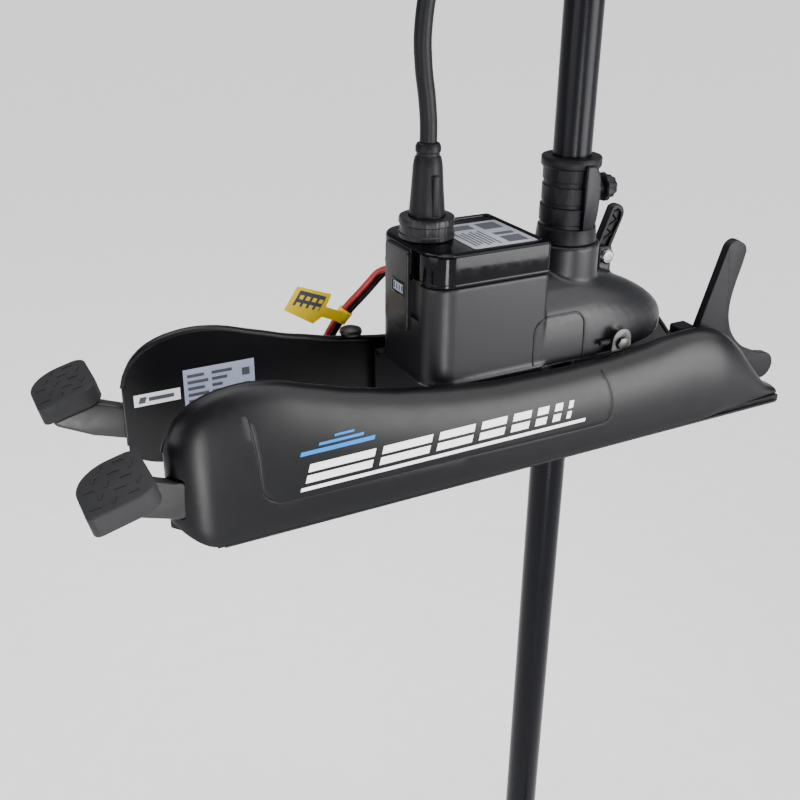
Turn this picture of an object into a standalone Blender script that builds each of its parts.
"""Bow-mount trolling motor: base with side covers, tilting drive housing, steered shaft, head and pod.

Every size below is in millimetres, and the helpers turn millimetres into Blender's metres.
X runs along the base (the foot pads are at -X, the release lever at +X), Y across it, Z is up.
The shaft stands at x = 0 in the drawing coordinates. The world origin lies under the mounting
plate, so everything is drawn SHAFT_X away from it.
"""
import math

import bmesh
import bpy
from mathutils import Matrix, Vector

MM = 0.001
GAP = 0.3            # between touching pieces

# Frame and shaft
SHAFT_X = -120.0     # shaft axis, seen from the centre of the mounting plate
SHAFT_R = 15.0
SHAFT_WALL = 2.5
SHAFT_TOP = 640.0
SHAFT_BOTTOM = -612.7

# Base and side covers
BASE_FRONT = -322.0
BASE_REAR = 192.0
RAIL_IN = 46.0
RAIL_OUT = 71.5
RAIL_H = 6.0
LEDGE_IN = 38.0
LEDGE_OUT = 48.5
LEDGE_FRONT = -146.0
LEDGE_REAR = -52.0
PLATE_FRONT = 64.0
COVER_FRONT = -349.0
COVER_RIM = 52.0     # inner edge of a cover's top, from the centre plane
COVER_HALF = 75.0    # outer face of a cover at its foot
COVER_FOOT = 3.5
COVER_WALL = 2.5

# Tilt hinge
TILT_X = 25.0
TILT_Z = 78.0
TILT_BOLT_R = 4.8
EAR_IN = 49.2
EAR_OUT = 51.4
EAR_TOP_R = 9.0

# Drive housing
HOUSE_LEFT = -146.0
HOUSE_RIGHT = -45.0
HOUSE_HALF = 45.0
HOUSE_FLOOR = 67.5
HOUSE_SPLIT = 145.0
HOUSE_TOP = 170.0
BOSS_R = 27.0
BOSS_TOP = 154.0
SLEEVE_R = 18.5

# Release lever
LEVER_X = 150.0
LEVER_Z = 35.0
LEVER_NEAR = -44.0
LEVER_FAR = -32.0

# Foot pads
PAD_IN = 52.0
PAD_OUT = 109.0
PAD_LEN = 45.0
PAD_X = -387.0
PAD_TOP = 73.7
PAD_THICK = 15.0
PAD_SLOPE = math.radians(-15.0)

# Steering gears
MODULE = 1.5
RING_TEETH = 40
PINION_TEETH = 12
GEAR_BACKLASH = 0.35
RING_PITCH_R = MODULE * RING_TEETH / 2
PINION_PITCH_R = MODULE * PINION_TEETH / 2
GEAR_DISTANCE = RING_PITCH_R + PINION_PITCH_R
GEAR_LOW = 84.0
GEAR_HIGH = 94.0

# Lower unit
POD_Z = -660.0
POD_R = 46.0
POD_WALL = 3.0
POD_HALF = 105.0
PROP_Y = -162.0
PROP_R = 122.0

# Control head
HEAD_LOW = 600.0
HEAD_SPLIT = 640.0
HEAD_HIGH = 688.0
HEAD_HALF_X = 43.0
HEAD_HALF_Y = 100.0

# Cables
CABLE_R = 6.4
CURLY_R = 13.0
CURLY_X = -42.0
CURLY_LOW = 430.0
GLAND_X = -28.0
CURLY_HIGH = 548.0
LEAD_R = 2.5
LEAD_COIL_R = 28.0
LEAD_Z = 130.0
GLAND_LEAD_X = -124.0

PARTS = None
CUTTERS = None
MATERIALS = {}


# ---------------------------------------------------------------- scene and helpers

def start_scene():
    """Empty the scene and make the two collections."""
    global PARTS, CUTTERS
    for obj in list(bpy.data.objects):
        bpy.data.objects.remove(obj, do_unlink=True)
    PARTS = bpy.data.collections.new("trolling_motor")
    CUTTERS = bpy.data.collections.new("cutters")
    bpy.context.scene.collection.children.link(PARTS)
    bpy.context.scene.collection.children.link(CUTTERS)


def at(x, y, z):
    """A drawing point as a world vector in metres."""
    return Vector(((SHAFT_X + x) * MM, y * MM, z * MM))


def material(slot):
    """The Principled material of a slot, made on first use."""
    if slot not in MATERIALS:
        colour, roughness, metallic = FINISHES[slot]
        mat = bpy.data.materials.new(slot)
        mat.use_nodes = True
        shader = mat.node_tree.nodes["Principled BSDF"]
        shader.inputs["Base Color"].default_value = (*colour, 1.0)
        shader.inputs["Roughness"].default_value = roughness
        shader.inputs["Metallic"].default_value = metallic
        MATERIALS[slot] = mat
    return MATERIALS[slot]


FINISHES = {
    "cover_plastic": ((0.020, 0.020, 0.022), 0.42, 0.0),
    "housing_plastic": ((0.030, 0.030, 0.033), 0.50, 0.0),
    "lid_plastic": ((0.012, 0.012, 0.014), 0.18, 0.0),
    "soft_rubber": ((0.028, 0.028, 0.030), 0.75, 0.0),
    "bronze_metal": ((0.13, 0.12, 0.11), 0.40, 0.9),
    "zinc_steel": ((0.62, 0.60, 0.56), 0.32, 1.0),
    "chrome_steel": ((0.75, 0.75, 0.76), 0.15, 1.0),
    "black_tube": ((0.022, 0.022, 0.024), 0.38, 0.2),
    "cast_alloy": ((0.32, 0.32, 0.33), 0.45, 1.0),
    "black_cast": ((0.022, 0.022, 0.024), 0.42, 0.1),
    "black_paint": ((0.018, 0.018, 0.020), 0.30, 0.1),
    "nylon": ((0.60, 0.59, 0.55), 0.45, 0.0),
    "copper": ((0.60, 0.30, 0.16), 0.35, 1.0),
    "board_green": ((0.03, 0.15, 0.07), 0.45, 0.0),
    "cable_black": ((0.018, 0.018, 0.020), 0.50, 0.0),
    "lead_red": ((0.42, 0.015, 0.02), 0.42, 0.0),
    "tag_yellow": ((0.80, 0.62, 0.03), 0.50, 0.0),
}


def adopt(obj, slot, body, smooth=False):
    """Name, finish and file an object; a body's pieces hang on the empty at its joint."""
    mesh = obj.data
    if slot:
        mesh.materials.append(material(slot))
    if smooth:
        mesh.shade_smooth()
        mesh.set_sharp_from_angle(angle=math.radians(35))
    target = PARTS if slot else CUTTERS
    target.objects.link(obj)
    if body is not None:
        obj.parent = body
        obj.matrix_parent_inverse = body.matrix_world.inverted()
    if not slot:
        obj.hide_render = True
        obj.display_type = "WIRE"
    return obj


def joint_empty(name, place, parent=None):
    """An empty on a joint's axis."""
    empty = bpy.data.objects.new(name, None)
    empty.matrix_world = Matrix.Translation(place)
    PARTS.objects.link(empty)
    if parent is not None:
        empty.parent = parent
        empty.matrix_parent_inverse = parent.matrix_world.inverted()
    bpy.context.view_layer.update()
    return empty


def mesh_object(name, bm):
    """Turn a bmesh into an object with its faces pointing out."""
    bmesh.ops.recalc_face_normals(bm, faces=bm.faces)
    mesh = bpy.data.meshes.new(name)
    bm.to_mesh(mesh)
    bm.free()
    return bpy.data.objects.new(name, mesh)


def bevel(obj, width, segments=2):
    """Round the edges of an object by a Bevel modifier."""
    mod = obj.modifiers.new("bevel", "BEVEL")
    mod.width = width * MM
    mod.segments = segments
    mod.limit_method = "ANGLE"
    mod.angle_limit = math.radians(40)
    return obj


def box(name, low, high, slot, body=None, round_edges=0.0, segments=2):
    """A block between two corners."""
    bm = bmesh.new()
    bmesh.ops.create_cube(bm, size=1.0)
    size = [(h - l) * MM for l, h in zip(low, high)]
    middle = at(*[(l + h) / 2 for l, h in zip(low, high)])
    bmesh.ops.transform(bm, matrix=Matrix.Translation(middle) @ Matrix.Diagonal((*size, 1.0)), verts=bm.verts)
    obj = adopt(mesh_object(name, bm), slot, body)
    if round_edges:
        bevel(obj, round_edges, segments)
    return obj


TURN = {"X": Matrix.Rotation(math.pi / 2, 4, "Y"),
        "Y": Matrix.Rotation(-math.pi / 2, 4, "X"),
        "Z": Matrix.Identity(4)}


def cylinder(name, centre, radius, length, axis, slot, body=None, sides=24):
    """A round bar centred on a point."""
    bm = bmesh.new()
    bmesh.ops.create_cone(bm, cap_ends=True, segments=sides, radius1=radius * MM,
                          radius2=radius * MM, depth=length * MM)
    bmesh.ops.transform(bm, matrix=Matrix.Translation(at(*centre)) @ TURN[axis], verts=bm.verts)
    return adopt(mesh_object(name, bm), slot, body, smooth=True)


def turned(name, profile, centre, axis, slot, body=None, steps=24, smooth=True, closed=False):
    """A turned piece: its (radius, height) profile runs from top to bottom, swept by a Screw."""
    bm = bmesh.new()
    verts = [bm.verts.new((r * MM, 0.0, h * MM)) for r, h in profile]
    for first, second in zip(verts, verts[1:]):
        bm.edges.new((first, second))
    if closed:
        bm.edges.new((verts[-1], verts[0]))
    mesh = bpy.data.meshes.new(name)
    bm.to_mesh(mesh)
    bm.free()
    obj = bpy.data.objects.new(name, mesh)
    screw = obj.modifiers.new("screw", "SCREW")
    screw.axis = "Z"
    screw.steps = steps
    screw.render_steps = steps
    screw.use_merge_vertices = True
    screw.merge_threshold = 0.00001
    screw.use_smooth_shade = smooth
    obj.matrix_world = Matrix.Translation(at(*centre)) @ TURN[axis]
    bpy.context.view_layer.update()
    adopt(obj, slot, body)
    return obj


def ring(name, inner, outer, low, high, slot, body=None, centre=(0.0, 0.0), steps=24):
    """A plain ring round a vertical axis."""
    profile = [(outer, high), (outer, low), (inner, low), (inner, high)]
    return turned(name, profile, (centre[0], centre[1], 0.0), "Z", slot, body, steps, closed=True)


def arc(cx, cy, radius, start, end, count=6):
    """Points of an arc between two angles in degrees."""
    angles = [math.radians(start + (end - start) * i / count) for i in range(count + 1)]
    return [(cx + radius * math.cos(a), cy + radius * math.sin(a)) for a in angles]


def plate(name, outline, low, high, plane, slot, body=None, round_edges=0.0, segments=1):
    """A flat outline given thickness: plane XY is thick along Z, XZ along Y and YZ along X."""
    curve = bpy.data.curves.new(name, "CURVE")
    curve.dimensions = "2D"
    curve.fill_mode = "BOTH"
    curve.extrude = (high - low) / 2 * MM
    spline = curve.splines.new("POLY")
    spline.points.add(len(outline) - 1)
    for point, (u, v) in zip(spline.points, outline):
        point.co = (u * MM, v * MM, 0.0, 1.0)
    spline.use_cyclic_u = True
    middle = (low + high) / 2
    upright = Matrix.Rotation(math.pi / 2, 4, "X")
    place = {"XY": Matrix.Translation(at(0.0, 0.0, middle)),
             "XZ": Matrix.Translation(at(0.0, middle, 0.0)) @ upright,
             "YZ": (Matrix.Translation(at(middle, 0.0, 0.0)) @ Matrix.Rotation(math.pi / 2, 4, "Z")
                    @ upright)}[plane]
    obj = adopt(curve_to_mesh(name, curve, place), slot, body)
    if round_edges:
        bevel(obj, round_edges, segments)
    return obj


def curve_to_mesh(name, curve, place):
    """Weld a curve's solid into a mesh object, with its place put into the mesh."""
    guide = bpy.data.objects.new(name + "_curve", curve)
    bpy.context.scene.collection.objects.link(guide)
    bpy.context.view_layer.update()
    evaluated = guide.evaluated_get(bpy.context.evaluated_depsgraph_get())
    mesh = bpy.data.meshes.new_from_object(evaluated)
    bm = bmesh.new()
    bm.from_mesh(mesh)
    bmesh.ops.remove_doubles(bm, verts=bm.verts, dist=0.00001)
    bmesh.ops.transform(bm, matrix=place, verts=bm.verts)
    bpy.data.objects.remove(guide, do_unlink=True)
    return mesh_object(name, bm)


def smooth_route(points, per_span=4):
    """Points read from a smooth curve (Catmull-Rom) through the route's own points."""
    ends = [points[0], *points, points[-1]]
    route = []
    for a, b, c, d in zip(ends, ends[1:], ends[2:], ends[3:]):
        a, b, c, d = (Vector(p) for p in (a, b, c, d))
        for step in range(per_span):
            t = step / per_span
            route.append(0.5 * ((2 * b) + (c - a) * t + (2 * a - 5 * b + 4 * c - d) * t * t
                                + (3 * b - a - 3 * c + d) * t * t * t))
    route.append(Vector(points[-1]))
    return route


def tube(name, points, radius, slot, body=None, per_span=4, sides=2):
    """A cable or rod along a smooth route."""
    curve = bpy.data.curves.new(name, "CURVE")
    curve.dimensions = "3D"
    curve.bevel_depth = radius * MM
    curve.bevel_resolution = sides
    curve.use_fill_caps = True
    spline = curve.splines.new("POLY")
    route = smooth_route(points, per_span)
    spline.points.add(len(route) - 1)
    for point, place in zip(spline.points, route):
        point.co = (*at(*place), 1.0)
    return adopt(curve_to_mesh(name, curve, Matrix.Identity(4)), slot, body, smooth=True)


def loft(name, rings, slot, body=None, capped=True, closed=True):
    """Skin a list of rings that all have the same number of points."""
    bm = bmesh.new()
    rows = [[bm.verts.new(at(*p)) for p in points] for points in rings]
    count = len(rows[0])
    spans = count if closed else count - 1
    for lower, upper in zip(rows, rows[1:]):
        for i in range(spans):
            j = (i + 1) % count
            bm.faces.new((lower[i], lower[j], upper[j], upper[i]))
    if capped:
        bm.faces.new(rows[0][::-1])
        bm.faces.new(rows[-1])
    return adopt(mesh_object(name, bm), slot, body, smooth=True)


def boolean(target, tool, operation):
    mod = target.modifiers.new(operation.lower(), "BOOLEAN")
    mod.operation = operation
    mod.object = tool
    mod.solver = "EXACT"
    return target


def cut(target, *tools):
    for tool in tools:
        boolean(target, tool, "DIFFERENCE")
    return target


def join(target, *tools):
    for tool in tools:
        boolean(target, tool, "UNION")
    return target


def lerp_table(table, x):
    """Smooth height of an outline at x, from its few (x, height) points."""
    if x <= table[0][0]:
        return table[0][1]
    for (x0, v0), (x1, v1) in zip(table, table[1:]):
        if x <= x1:
            t = (x - x0) / (x1 - x0)
            eased = (1 - math.cos(math.pi * t)) / 2
            return v0 + (v1 - v0) * (0.6 * t + 0.4 * eased)
    return table[-1][1]


# ---------------------------------------------------------------- base

COVER_CREST = [(-349, 72), (-345, 86), (-337, 97), (-324, 105), (-307, 109), (-290, 110), (-270, 107),
               (-245, 99), (-215, 90), (-175, 81), (-135, 75), (-95, 71), (-40, 70), (10, 71),
               (45, 74), (75, 79), (100, 80), (120, 76), (137, 66), (155, 48), (170, 29), (183, 15),
               (192, 9)]


def cover_section(x, side):
    """One cross-section of a side cover: rim, rolled crest, bulging flank, foot."""
    crest = lerp_table(COVER_CREST, x)
    front = max(0.0, min(1.0, (x - COVER_FRONT) / 27.0))
    swell = math.sqrt(1.0 - (1.0 - front) ** 2)
    half = COVER_RIM + 3.0 + (COVER_HALF - COVER_RIM - 3.0) * swell
    half -= 6.0 * max(0.0, (x - 120.0) / (BASE_REAR - 120.0))
    tail = max(0.0, min(1.0, (x - 105.0) / 20.0))
    foot = COVER_FOOT + 24.0 * (1.0 - front) ** 1.6 + 3.3 * tail
    points = [(x, side * COVER_RIM, max(foot + 3.0, crest - 2.5))]
    shoulder = COVER_RIM + 2.5
    for i in range(9):
        angle = math.pi / 2 * i / 8
        y = shoulder + (half - shoulder) * math.sin(angle) ** 0.85
        z = foot + (max(crest, foot + 5.0) - foot) * math.cos(angle) ** 0.75 if i < 8 else foot
        points.append((x, side * y, z))
    return points


def side_cover(name, side, body):
    stations = [-349, -347.5, -344, -338, -330, -320, -306, -290, -270, -245, -215, -175, -135, -95, -40,
                10, 45, 75, 100, 120, 137, 155, 170, 183, 192]
    cover = loft(name, [cover_section(x, side) for x in stations], "cover_plastic", body,
                 capped=False, closed=False)
    skin = cover.modifiers.new("solidify", "SOLIDIFY")
    skin.thickness = COVER_WALL * MM
    # the wall grows inwards, away from the side that the faces point to
    upper_face = max(cover.data.polygons, key=lambda f: f.center.z)
    skin.offset = -1.0 if upper_face.normal.z > 0 else 1.0
    near, far = sorted((side * 56.8, side * 69.4))
    cut(cover, box(name + "_slot", (-362, near, 22), (-328, far, 58), None))
    return cover


def pad_outline(low, high):
    """A pad seen from above: both pads have their large round corner at -X and +Y."""
    half = PAD_LEN / 2
    corners = ((half, high, 9.0, 0, 4), (-half, high, 26.0, 90, 6),
               (-half, low, 5.0, 180, 3), (half, low, 13.0, 270, 4))
    outline = []
    for u, v, radius, start, count in corners:
        cu = u - radius if u > 0 else u + radius
        cv = v - radius if v == high else v + radius
        outline += arc(cu, cv, radius, start, start + 90, count)
    return outline


def foot_pad(name, side, body):
    """A D-shaped rubber pad, sloped along X."""
    bm = bmesh.new()
    low, high = sorted((side * PAD_IN, side * PAD_OUT))
    verts = [bm.verts.new((u * MM, v * MM, -PAD_THICK * MM)) for u, v in pad_outline(low, high)]
    face = bm.faces.new(verts)
    lifted = bmesh.ops.extrude_face_region(bm, geom=[face])
    top = [item for item in lifted["geom"] if isinstance(item, bmesh.types.BMVert)]
    bmesh.ops.translate(bm, verts=top, vec=(0.0, 0.0, PAD_THICK * MM))
    place = Matrix.Translation(at(PAD_X, 0, PAD_TOP)) @ Matrix.Rotation(PAD_SLOPE, 4, "Y")
    bmesh.ops.transform(bm, matrix=place, verts=bm.verts)
    pad = adopt(mesh_object(name, bm), "soft_rubber", body)
    return bevel(pad, 2.0, 2)


def pad_arm(name, side, body):
    """The tapered metal arm that carries a pad out of its cover."""
    outline = [(-300, 26), (-345, 27), (-372, 36), (-397, 49), (-399, 53), (-366, 62), (-346, 54), (-300, 50)]
    low, high = sorted((side * 57.5, side * 68.5))
    return plate(name, outline, low, high, "XZ", "bronze_metal", body, 2.0, 2)


def base_rail(name, side, body):
    """One rail of the base, with the web and ledge that the housing rests on."""
    low, high = sorted((side * RAIL_IN, side * RAIL_OUT))
    rail = box(name, (BASE_FRONT, low, 0), (BASE_REAR, high, RAIL_H), "black_cast", body)
    low, high = sorted((side * (RAIL_IN + 0.3), side * LEDGE_OUT))
    web = box(name + "_web", (LEDGE_FRONT, low, RAIL_H - 2), (LEDGE_REAR, high, HOUSE_FLOOR - 2), None, body)
    low, high = sorted((side * LEDGE_IN, side * LEDGE_OUT))
    ledge = box(name + "_ledge", (LEDGE_FRONT, low, HOUSE_FLOOR - 5), (LEDGE_REAR, high, HOUSE_FLOOR - GAP),
                None, body)
    return bevel(join(rail, web, ledge), 1.0, 1)


def hinge_ear(name, side, body):
    """A zinc-plated steel ear: round top, hole for the tilt bolt, foot turned out onto the rail."""
    outline = [(10, RAIL_H + GAP), (40, RAIL_H + GAP), *arc(TILT_X, TILT_Z + 3, EAR_TOP_R, 0, 180, 8)]
    low, high = sorted((side * EAR_IN, side * EAR_OUT))
    ear = plate(name, outline, low, high, "XZ", "zinc_steel", body)
    low, high = sorted((side * (EAR_OUT - 0.5), side * 62.0))
    foot = box(name + "_foot", (10, low, RAIL_H + GAP), (40, high, RAIL_H + 3.0), None, body)
    hole = cylinder(name + "_hole", (TILT_X, side * EAR_IN, TILT_Z), TILT_BOLT_R + GAP, 12, "Y", None, body, 24)
    return cut(join(ear, foot), hole)


def tilt_bolt(name, side, body):
    """A pivot bolt with a hexagon head outside the ear."""
    shank = cylinder(name, (TILT_X, side * 43.4, TILT_Z), TILT_BOLT_R, 17.8, "Y", "zinc_steel", body, 24)
    head = cylinder(name + "_head", (TILT_X, side * 52.8, TILT_Z), 5.4, 2.2, "Y", None, body, 6)
    return join(shank, head)


def rear_plate(body):
    """The mounting plate: its underside is the face that sits on the boat."""
    deck = box("rear_plate", (PLATE_FRONT, -RAIL_IN + GAP, 0), (BASE_REAR, RAIL_IN - GAP, RAIL_H),
               "cast_alloy", body, 1.0, 1)
    for x in (84, 172):
        for y in (-33, 33):
            cut(deck, cylinder("plate_hole", (x, y, RAIL_H / 2), 3.6, 12, "Z", None, body, 16))
    return deck


def release_lever(body):
    """The foot lever: a raked fin and a rear tab on one hub."""
    outline = [(104, 44), (134.5, 139), *arc(144, 136, 9.5, 160, 80, 4), *arc(150, 133, 10.5, 60, -30, 4),
               (152, 110), (147.5, 92), (148, 76), (156, 60), (172, 44), (190, 36),
               *arc(197, 22, 12.5, 75, -75, 6), (186, 9.5), (168, 12), (150, 19), (128, 24), (110, 30)]
    lever = plate("release_lever", outline, LEVER_NEAR, LEVER_FAR, "XZ", "housing_plastic", body, 1.2, 2)
    hole = cylinder("lever_hole", (LEVER_X, -38, LEVER_Z), 4.0 + GAP, 20, "Y", None, body, 20)
    return cut(lever, hole)


def lever_bracket(body):
    """Two cheeks on a foot that hold the lever's pin."""
    foot = box("lever_bracket", (136, -49, RAIL_H + GAP), (164, -26.6, RAIL_H + 2.6), "zinc_steel", body)
    for low, high in ((-48.7, -46.4), (-29.6, -27.3)):
        outline = [(139, RAIL_H + 2), (161, RAIL_H + 2), *arc(LEVER_X, LEVER_Z, 9.0, 0, 180, 6)]
        join(foot, plate("bracket_cheek", outline, low, high, "XZ", None, body))
    return cut(foot, cylinder("bracket_hole", (LEVER_X, -38, LEVER_Z), 4.0 + GAP, 40, "Y", None, body, 20))


def latch_guide(body):
    """The block that guides the latch bolt along X."""
    block = box("latch_guide", (112, -26, RAIL_H + GAP), (128, -10.5, 66), "black_cast", body, 1.0, 1)
    return cut(block, box("guide_slot", (100, -22.4, 49.6), (140, -14.1, 60.4), None, body))


def build_base(body):
    for side, label in ((-1, "near"), (1, "far")):
        base_rail("base_rail_" + label, side, body)
        side_cover("side_cover_" + label, side, body)
        pad_arm("pad_arm_" + label, side, body)
        foot_pad("foot_pad_" + label, side, body)
        hinge_ear("hinge_ear_" + label, side, body)
        tilt_bolt("tilt_bolt_" + label, side, body)
    rear_plate(body)
    lever_bracket(body)
    cylinder("lever_pin", (LEVER_X, -37.8, LEVER_Z), 4.0, 24.4, "Y", "zinc_steel", body, 20)
    turned("lever_spring", [(7.0, 1.6), (7.0, -1.6), (4.3, -1.6), (4.3, 1.6)],
           (LEVER_X, -24.0, LEVER_Z), "Y", "zinc_steel", body, 20, closed=True)
    latch_guide(body)


# ---------------------------------------------------------------- drive housing

def nose_ring(z, reach, half):
    """A plan outline of the nose: square at the housing, elliptic at its tip."""
    points = [(-70, -half, z)]
    start = -22.0
    for i in range(13):
        angle = math.pi * (i / 12 - 0.5)
        points.append((start + (reach - start) * math.cos(angle) ** 0.8 if 0 < i < 12 else start,
                       half * math.sin(angle), z))
    points.append((-70, half, z))
    return points


def housing_outline(inset=0.0):
    """The housing from above: two large corners at the pads' end, two small ones at the nose."""
    left, right, half = HOUSE_LEFT + inset, HOUSE_RIGHT - inset, HOUSE_HALF - inset
    large, small = 20.0 - inset, 4.0
    return [*arc(left + large, -half + large, large, 180, 270, 6),
            *arc(right - small, -half + small, small, 270, 360, 2),
            *arc(right - small, half - small, small, 0, 90, 2),
            *arc(left + large, half - large, large, 90, 180, 6)]


def housing(body):
    """The drive housing: box, domed nose, shaft boss and clamp lug, hollow from below."""
    shell = plate("drive_housing", housing_outline(), HOUSE_FLOOR, HOUSE_SPLIT, "XY", "housing_plastic", body)
    levels = [(HOUSE_FLOOR, 99, 44.2), (78, 101, 44.6), (90, 96, 44.4), (102, 82, 43.2), (112, 64, 40.2),
              (120, 44, 34.5), (127, 24, 26), (132, 8, 18), (134, -4, 12)]
    nose = loft("nose", [nose_ring(*level) for level in levels], None, body)
    boss = cylinder("boss", (0, 0, 130), BOSS_R, (BOSS_TOP - 130) * 2, "Z", None, body, 40)
    lug = box("clamp_lug", (41, 6.3, 100), (55, 12, 139), None, body)
    lip = box("front_lip", (-149, -20, HOUSE_FLOOR), (-130, 20, 71), None, body)
    join(shell, nose, boss, lug, lip)
    for side in (-1, 1):
        join(shell, cylinder("pivot_boss", (TILT_X, side * 40.0, TILT_Z), 9.5, 7.6, "Y", None, body, 24))
    cut(shell,
        plate("cavity_box", housing_outline(4.0), 60, HOUSE_SPLIT - 4, "XY", None, body),
        box("cavity_bridge", (HOUSE_RIGHT - 6, -30, 60), (-5, 30, 118), None, body),
        cylinder("cavity_gear", (0, 0, 78), 35.5, 64, "Z", None, body, 36),
        cylinder("boss_bore", (0, 0, 130), 22.0, 80, "Z", None, body, 32),
        cylinder("lug_hole", (48, 9, 131), 3.3, 20, "Y", None, body, 16))
    for side in (-1, 1):
        cut(shell, cylinder("pivot_hole", (TILT_X, side * 40.0, TILT_Z), TILT_BOLT_R + GAP, 14, "Y",
                            None, body, 24))
    cut(shell, cylinder("lead_hole", (GLAND_LEAD_X, HOUSE_HALF, LEAD_Z), 6.0, 20, "Y", None, body, 16))
    return shell


def housing_lid(body):
    """The glossy top cover, open below, with a socket seat at its front."""
    lid = plate("housing_lid", housing_outline(), HOUSE_SPLIT + GAP, HOUSE_TOP, "XY", "lid_plastic", body)
    cut(lid, box("lid_cavity", (HOUSE_LEFT + 9, -38, 120), (HOUSE_RIGHT - 4, 38, HOUSE_TOP - 4), None, body))
    return bevel(lid, 2.5, 2)


def build_housing(body):
    housing(body)
    housing_lid(body)
    floor = plate("housing_floor", housing_outline(4.5), 68.5, 71.5, "XY", "housing_plastic", body)
    join(floor, box("floor_bridge", (-60, -29.5, 68.7), (-37, 29.5, 71.3), None, body))
    ring("lower_bush", SLEEVE_R + GAP, 35.0, 68.5, 76.0, "nylon", body)
    ring("upper_bush", SLEEVE_R + GAP, 22.0 - GAP, 122.0, 151.0, "nylon", body)
    cylinder("steering_motor", (-GEAR_DISTANCE, 0, 108), 14.0, 19, "Z", "cast_alloy", body, 24)
    box("motor_controller", (-136, -34, 76), (-72, 34, 92), "board_green", body, 1.0, 1)
    turned("plug_socket", [(19.5, 186.5), (21, 185), (21, HOUSE_TOP + GAP), (14, HOUSE_TOP + GAP), (14, 186.5)],
           (-124, 6, 0), "Z", "lid_plastic", body, 28, closed=True)
    turned("plug_boot", [(0, 240), (7.2, 240), (9.6, 236), (9.6, 229), (11.0, 224), (13.3, 187),
                         (13.3, HOUSE_TOP + GAP), (0, HOUSE_TOP + GAP)],
           (-124, 6, 0), "Z", "soft_rubber", body, 24)
    tube("motor_cable", [(-124, 6, 240.3), (-124.2, 6, 254), (-126, 6, 272), (-129, 6, 292), (-130, 6, 316),
                         (-126, 5, 345), (-113, 4, 370), (-92, 2, 388), (-68, 0.5, 398), (-50, 0, 408),
                         (CURLY_X, 0, 419), (CURLY_X, 0, CURLY_LOW - 1.0)], CABLE_R, "cable_black", body, 3)
    turned("lead_gland", [(0, 6.2), (5.6, 6.2), (7.6, 3.5), (7.6, 0.4), (5.6, 0.4), (5.6, -8), (0, -8)],
           (GLAND_LEAD_X, HOUSE_HALF, LEAD_Z), "Y", "soft_rubber", body, 16)


def clamp_lever(body):
    """The small quick-release lever behind the boss."""
    outline = [*arc(48, 131, 7.5, 150, 330, 6), (67, 158), *arc(60.5, 164, 8.0, -20, 130, 5)]
    lever = plate("clamp_lever", outline, 12.0 + GAP, 20.0, "XZ", "housing_plastic", body, 1.0, 1)
    return cut(lever, cylinder("clamp_hole", (48, 16, 131), 3.0 + GAP, 20, "Y", None, body, 16))


def clamp_screw(body):
    shank = cylinder("clamp_screw", (48, 12.5, 131), 3.0, 20, "Y", "chrome_steel", body, 16)
    head = cylinder("screw_head", (48, 4.2, 131), 6.2, 3.6, "Y", None, body, 6)
    washer = cylinder("screw_nut", (48, 21.9, 131), 5.2, 3.0, "Y", None, body, 6)
    return join(shank, head, washer)


# ---------------------------------------------------------------- steering

def gear_outline(teeth, pitch_r, phase):
    """A plain trapezoid-tooth outline with backlash."""
    outline = []
    pitch = 2 * math.pi / teeth
    widths = ((pitch_r - 1.2 * MODULE, 0.36), (pitch_r, 0.25 - GEAR_BACKLASH / (pitch_r * pitch) / 2),
              (pitch_r + 0.85 * MODULE, 0.12))
    for tooth in range(teeth):
        centre = phase + tooth * pitch
        for radius, half in widths:
            outline.append((radius, centre - half * pitch))
        for radius, half in reversed(widths):
            outline.append((radius, centre + half * pitch))
    return [(radius * math.cos(a), radius * math.sin(a)) for radius, a in outline]


def gear(name, teeth, pitch_r, centre, phase, slot, body):
    outline = [(centre[0] + x, centre[1] + y) for x, y in gear_outline(teeth, pitch_r, phase)]
    return plate(name, outline, GEAR_LOW, GEAR_HIGH, "XY", slot, body)


def build_steering(sleeve_body, pinion_body):
    ring("steering_sleeve", SHAFT_R + GAP, SLEEVE_R, 70.0, 153.0, "nylon", sleeve_body)
    wheel = gear("ring_gear", RING_TEETH, RING_PITCH_R, (0, 0), math.pi, "nylon", sleeve_body)
    cut(wheel, cylinder("ring_bore", (0, 0, 89), SLEEVE_R + GAP, 30, "Z", None, sleeve_body, 28))
    # a tooth gap of the pinion faces the ring gear's tooth
    drive = gear("pinion", PINION_TEETH, PINION_PITCH_R, (-GEAR_DISTANCE, 0), math.pi / PINION_TEETH,
                 "cast_alloy", pinion_body)
    join(drive, cylinder("pinion_shaft", (-GEAR_DISTANCE, 0, 89.4), 3.0, 17.6, "Z", None, pinion_body, 16))


# ---------------------------------------------------------------- shaft, collar and head

def depth_collar(body):
    """The grooved depth collar with its clamp bar, resting on the boss."""
    low = BOSS_TOP + GAP
    profile = [(21.0, 221), (23.5, 220), (23.5, 214), (21.6, 212), (21.6, 203), (20.6, 202), (20.6, 200),
               (21.6, 199), (21.6, 186), (20.8, 185), (20.8, 183), (22.4, 182), (22.4, 170), (21.4, 169),
               (21.4, 167), (23.0, 166), (24.5, low), (SHAFT_R + GAP, low), (SHAFT_R + GAP, 221)]
    collar = turned("depth_collar", profile, (0, 0, 0), "Z", "housing_plastic", body, 24, closed=True)
    bar = box("collar_bar", (-4, -26, 168), (9, -18, 216), None, body)
    boss = cylinder("collar_boss", (23, -2, 193), 6.5, 6.0, "X", None, body, 20)
    join(collar, bar, boss)
    return cut(collar, cylinder("collar_bore", (0, 0, 193), SHAFT_R + GAP, 90, "Z", None, body, 32))


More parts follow.
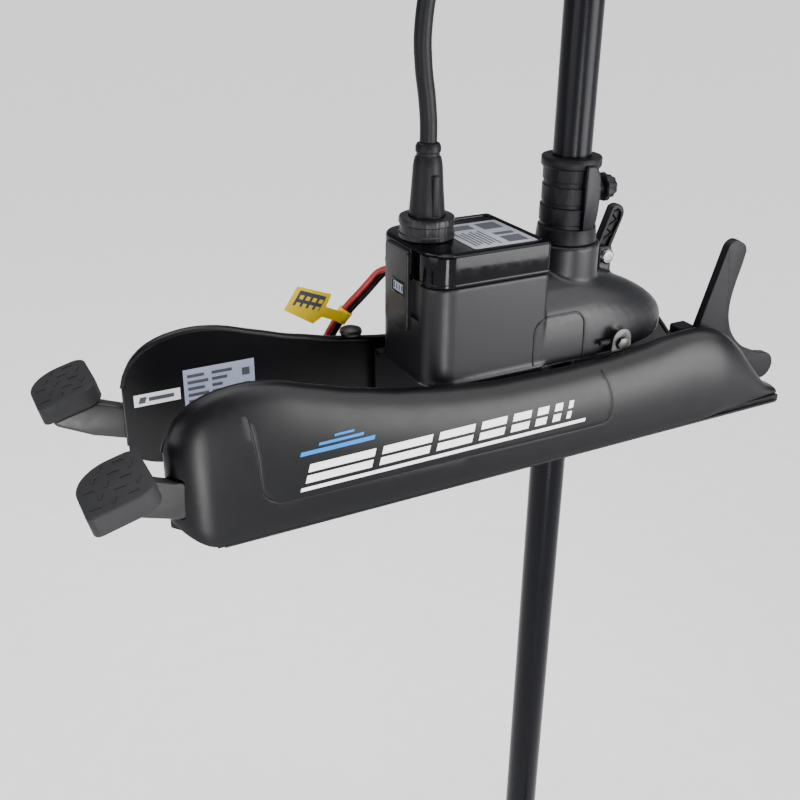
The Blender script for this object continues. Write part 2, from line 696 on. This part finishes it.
def collar_knob(body):
    """A scalloped hand knob on the collar, turned about X."""
    outline = []
    for i in range(48):
        angle = 2 * math.pi * i / 48
        radius = 10.2 + 0.9 * math.cos(6 * angle)
        outline.append((radius * math.cos(angle), radius * math.sin(angle)))
    bm = bmesh.new()
    rows = []
    for x, scale in ((26.3, 0.62), (31.5, 0.66), (33.0, 0.98), (40.5, 1.0), (43.5, 0.78)):
        rows.append([bm.verts.new(at(x, -2 + u * scale, 193 + v * scale)) for u, v in outline])
    for lower, upper in zip(rows, rows[1:]):
        for i in range(48):
            j = (i + 1) % 48
            bm.faces.new((lower[i], lower[j], upper[j], upper[i]))
    bm.faces.new(rows[0][::-1])
    bm.faces.new(rows[-1])
    return adopt(mesh_object("collar_knob", bm), "housing_plastic", body, smooth=True)


def rounded_rect(half_x, half_y, radius, count=4):
    outline = []
    for cx, cy, start in ((1, 1, 0), (-1, 1, 90), (-1, -1, 180), (1, -1, 270)):
        outline += arc(cx * (half_x - radius), cy * (half_y - radius), radius, start, start + 90, count)
    return outline


def head_shell(name, levels, slot, body):
    """A head shell: rounded rectangles of different sizes, one above the other."""
    rings = []
    for z, half_x, half_y, radius in levels:
        rings.append([(x, y, z) for x, y in rounded_rect(half_x, half_y, radius)])
    return loft(name, rings, slot, body)


def build_head(body, button_body):
    hx, hy = HEAD_HALF_X, HEAD_HALF_Y
    lower = head_shell("head_lower", [(HEAD_LOW, hx - 5, hy - 22, 16), (HEAD_LOW + 8, hx - 4, hy - 8, 22),
                                      (HEAD_LOW + 22, hx, hy - 1, 25), (HEAD_SPLIT, hx, hy, 26)],
                       "housing_plastic", body)
    cut(lower, box("head_low_cavity", (-hx + 5, -hy + 22, HEAD_LOW + 6), (hx - 5, hy - 22, 700), None, body),
        cylinder("head_bore", (0, 0, HEAD_LOW), SHAFT_R + GAP, 60, "Z", None, body, 32),
        cylinder("gland_hole", (GLAND_X, 0, HEAD_LOW), 6.8, 30, "Z", None, body, 20))
    upper = head_shell("head_upper", [(HEAD_SPLIT + GAP, hx, hy, 26), (HEAD_SPLIT + 22, hx - 2, hy - 2, 26),
                                      (HEAD_SPLIT + 38, hx - 9, hy - 12, 24), (HEAD_HIGH, hx - 20, hy - 32, 18)],
                       "lid_plastic", body)
    cut(upper, box("head_up_cavity", (-hx + 9, -hy + 30, 620), (hx - 9, hy - 30, HEAD_HIGH - 12), None, body),
        cylinder("button_hole", (0, -30, HEAD_HIGH), 9.0 + GAP, 60, "Z", None, body, 24))
    turned("power_button", [(0, HEAD_HIGH + 3), (8.0, HEAD_HIGH + 3), (9.0, HEAD_HIGH + 2), (9.0, HEAD_HIGH - 12.6),
                            (11, HEAD_HIGH - 12.6), (11, HEAD_HIGH - 15), (0, HEAD_HIGH - 15)],
           (0, -30, 0), "Z", "soft_rubber", button_body, 24)
    turned("head_gland", [(0, HEAD_LOW + 4), (6.5, HEAD_LOW + 4), (6.5, HEAD_LOW - GAP), (10, HEAD_LOW - GAP),
                          (9, HEAD_LOW - 10), (7.4, HEAD_LOW - 16), (0, HEAD_LOW - 16)],
           (GLAND_X, 0, 0), "Z", "soft_rubber", body, 20)
    tube("head_cable", [(CURLY_X, 0, CURLY_HIGH + 1.0), (CURLY_X, 0, 555), (CURLY_X + 5, 0, 566),
                        (GLAND_X, 0, 576), (GLAND_X, 0, HEAD_LOW - 17.4)], CABLE_R - 1.4, "cable_black", body, 3)


# ---------------------------------------------------------------- lower unit

def pod_shell(body):
    """The motor pod: a tube along Y with the shaft socket above and the skeg below."""
    pod = cylinder("pod_shell", (0, 0, POD_Z), POD_R, 2 * POD_HALF, "Y", "black_paint", body, 24)
    neck = turned("pod_neck", [(0, -590), (19, -590), (21, -596), (22, -606), (27, -619), (0, -619)],
                  (0, 0, 0), "Z", None, body, 32)
    bore = cylinder("neck_bore", (0, 0, -596.5), SHAFT_R + GAP, 33.0, "Z", None, body, 32)
    outline = [(40, -704.6), (-40, -704.6), (-34, -730), (-20, -762), *arc(-6, -762, 8.0, 180, 270, 3),
               (2, -770), (14, -740)]
    skeg = plate("skeg", outline, -3.0, 3.0, "YZ", None, body, 1.5, 1)
    cavity = cylinder("pod_cavity", (0, 0, POD_Z), POD_R - POD_WALL, 2 * POD_HALF + 20, "Y", None, body, 24)
    return cut(join(pod, neck, skeg), bore, cavity)


def build_pod(body, prop_body):
    pod_shell(body)
    turned("nose_cone", [(0, 172), (12, 169), (26, 159), (37, 143), (43.5, 124), (POD_R, POD_HALF + GAP),
                         (POD_R - POD_WALL - GAP, POD_HALF + GAP), (POD_R - POD_WALL - GAP, 96), (12, 96),
                         (12, 88), (4 + GAP, 88), (4 + GAP, 104), (0, 104)], (0, 0, POD_Z), "Y",
           "black_paint", body, 24)
    turned("tail_bell", [(POD_R - POD_WALL - GAP, -96), (POD_R - POD_WALL - GAP, -POD_HALF - GAP),
                         (POD_R, -POD_HALF - GAP), (43, -126), (36, -140), (28, -146), (4 + GAP, -146),
                         (4 + GAP, -96)], (0, 0, POD_Z), "Y", "black_paint", body, 24, closed=True)
    ring_y("magnet_ring", 37.0, POD_R - POD_WALL - GAP, -62, 62, "cast_alloy", body)
    cylinder("motor_shaft", (0, -46, POD_Z), 4.0, 276, "Y", "chrome_steel", prop_body, 20)
    ring_y("armature", 4.0 + GAP, 36.0, -56, 56, "copper", prop_body)
    propeller(prop_body)
    turned("prop_nut", [(4.8, -175.0), (8.0, -175.0), (8.0, -182), (4.8, -182)],
           (0, 0, POD_Z), "Y", "chrome_steel", prop_body, 6, False, True)


def ring_y(name, inner, outer, low, high, slot, body):
    profile = [(outer, high), (outer, low), (inner, low), (inner, high)]
    return turned(name, profile, (0, 0, POD_Z), "Y", slot, body, 24, closed=True)


def blade_ring(radius, chord, pitch_angle, thickness):
    """A lens-shaped blade section at one radius, before it is turned about Y."""
    points = []
    for i in range(12):
        angle = 2 * math.pi * i / 12
        u = chord / 2 * math.cos(angle)
        v = thickness / 2 * math.sin(angle)
        sweep = 0.16 * radius * radius / PROP_R
        x = u * math.cos(pitch_angle) - v * math.sin(pitch_angle) - sweep
        y = u * math.sin(pitch_angle) + v * math.cos(pitch_angle)
        points.append((x, PROP_Y + y, radius))
    return points


def propeller(body):
    """Two swept blades on a tapered hub."""
    hub = turned("propeller", [(4 + GAP, -147), (27, -147), (27.5, -152), (22, -168), (12, -174.6),
                               (4 + GAP, -174.6)], (0, 0, POD_Z), "Y", "black_paint", body, 32, closed=True)
    stations = [(18, 20, 52, 5.5), (35, 34, 44, 5.0), (60, 44, 33, 4.2), (85, 42, 26, 3.4), (108, 30, 21, 2.6),
                (118, 19, 19, 2.0), (PROP_R, 8, 18, 1.4)]
    for turn in (0, math.pi):
        rings = [blade_ring(r, chord, math.radians(a), t) for r, chord, a, t in stations]
        blade = loft("blade", rings, None, body)
        centre = at(0, 0, 0)
        blade.data.transform(Matrix.Translation(Vector((centre.x, 0, POD_Z * MM)))
                             @ Matrix.Rotation(turn, 4, "Y") @ Matrix.Translation(Vector((-centre.x, 0, 0))))
        join(hub, blade)
    return hub


def build_shaft(body):
    profile = [(SHAFT_R, SHAFT_TOP - 8), (SHAFT_R, SHAFT_BOTTOM + 0.3), (SHAFT_R - SHAFT_WALL, SHAFT_BOTTOM + 0.3),
               (SHAFT_R - SHAFT_WALL, SHAFT_TOP - 8)]
    turned("shaft_tube", profile, (0, 0, 0), "Z", "black_tube", body, 32, closed=True)
    depth_collar(body)


# ---------------------------------------------------------------- power leads

RED_COIL = (-22.0, 146.0)
BLACK_COIL = (54.0, 146.0)
COIL_HALF_WIDTH = 7.7
COIL_HEIGHT = 10.4
# middle of the pair of leads, and how far each lead lies to its own side of it
LEAD_PATH = (((GLAND_LEAD_X, 51.6, LEAD_Z), (-2.7, 0, 0)), ((GLAND_LEAD_X, 56, LEAD_Z), (-2.7, 0, 0)),
             ((-125.2, 61.8, 128.7), (-2.7, 0, 0.4)), ((-128, 66.6, 125.7), (-2.6, 0, 0.9)),
             ((-132, 70.2, 121.4), (-2.3, 0, 1.5)), ((-139, 72, 113.5), (-2.0, 0, 1.85)),
             ((-146.5, 73.5, 105.5), (-2.0, 0, 1.85)), ((-154, 75.5, 97.5), (-2.0, 0, 1.8)),
             ((-161, 78, 88.5), (-2.2, 0, 1.6)), ((-167, 81, 78.5), (-2.4, 0, 1.2)),
             ((-171.5, 85, 66), (-2.7, 0, 0.6)), ((-173, 89.5, 51), (-2.8, 0, 0)),
             ((-170.5, 94, 35), (-2.8, 0.6, 0)), ((-163, 97.5, 20), (-2.3, 2.0, 0)),
             ((-150, 99, 8.7), (-1.2, 3.6, 0)), ((-134, 99.3, 3.6), (0, 4.4, 0)))


def lead_route(lane, coil):
    """One power lead: out of the gland, over the far cover, down to the deck and along to its coil."""
    deck_y = 99.0 + 4.5 * lane
    fall = [tuple(Vector(middle) + lane * Vector(aside)) for middle, aside in LEAD_PATH]
    return fall + [(-112, deck_y, LEAD_R), (coil[0] - 60, deck_y + 2, LEAD_R),
                   (coil[0] - 36, coil[1] - LEAD_COIL_R - 6.5, LEAD_R),
                   (coil[0] - 20, coil[1] - LEAD_COIL_R - 5.2, LEAD_R)]


def build_leads(body):
    for label, lane, coil, slot in (("red", 1, RED_COIL, "lead_red"), ("black", -1, BLACK_COIL, "cable_black")):
        tube("power_lead_" + label, lead_route(lane, coil), LEAD_R, slot, body, 3)
        ring(label + "_coil", LEAD_COIL_R - COIL_HALF_WIDTH, LEAD_COIL_R + COIL_HALF_WIDTH, 0.0, COIL_HEIGHT,
             slot, body, coil, 28)
        x, y = coil
        eye = ring(label + "_terminal", 3.4, 6.6, 0.2, 2.2, "zinc_steel", body, (x - 43, y + 33.5), 20)
        join(eye, box(label + "_barrel", (x - 37, y + 30.5, 0.2), (x - 20.4, y + 36.5, 7.2), None, body))
    outline = [(-202, 122), (-214, 104), (-190, 88.5), (-182, 93), (-167, 86), (-163, 94), (-178, 101), (-173, 111)]
    plate("lead_tag", outline, 71.2, 71.9, "XZ", "tag_yellow", body)


# ---------------------------------------------------------------- assembly

def build():
    start_scene()
    base = joint_empty("base_origin", at(0, 0, 0))
    tilt = joint_empty("tilt_axis", at(TILT_X, 0, TILT_Z), base)
    steer = joint_empty("steer_axis", at(0, 0, 100), tilt)
    depth = joint_empty("depth_axis", at(0, 0, 200), steer)
    lever = joint_empty("lever_axis", at(LEVER_X, -38, LEVER_Z), base)
    latch = joint_empty("latch_axis", at(120, -17, 55), base)
    pinion = joint_empty("pinion_axis", at(-GEAR_DISTANCE, 0, 89), tilt)
    clamp = joint_empty("clamp_axis", at(48, 16, 131), tilt)
    knob = joint_empty("knob_axis", at(35, -2, 193), depth)
    button = joint_empty("button_axis", at(0, -30, HEAD_HIGH), depth)
    prop = joint_empty("prop_axis", at(0, PROP_Y, POD_Z), depth)

    build_base(base)
    build_leads(base)
    release_lever(lever)
    box("latch_bolt", (105.5, -22, 50), (136, -14.5, 60), "chrome_steel", latch, 1.0, 1)
    build_housing(tilt)
    clamp_screw(tilt)
    clamp_lever(clamp)
    build_steering(steer, pinion)
    cylinder("curly_cord", (CURLY_X, 0, (CURLY_LOW + CURLY_HIGH) / 2), CURLY_R, CURLY_HIGH - CURLY_LOW, "Z",
             "cable_black", steer, 20)
    build_shaft(depth)
    collar_knob(knob)
    build_head(depth, button)
    build_pod(depth, prop)


build()
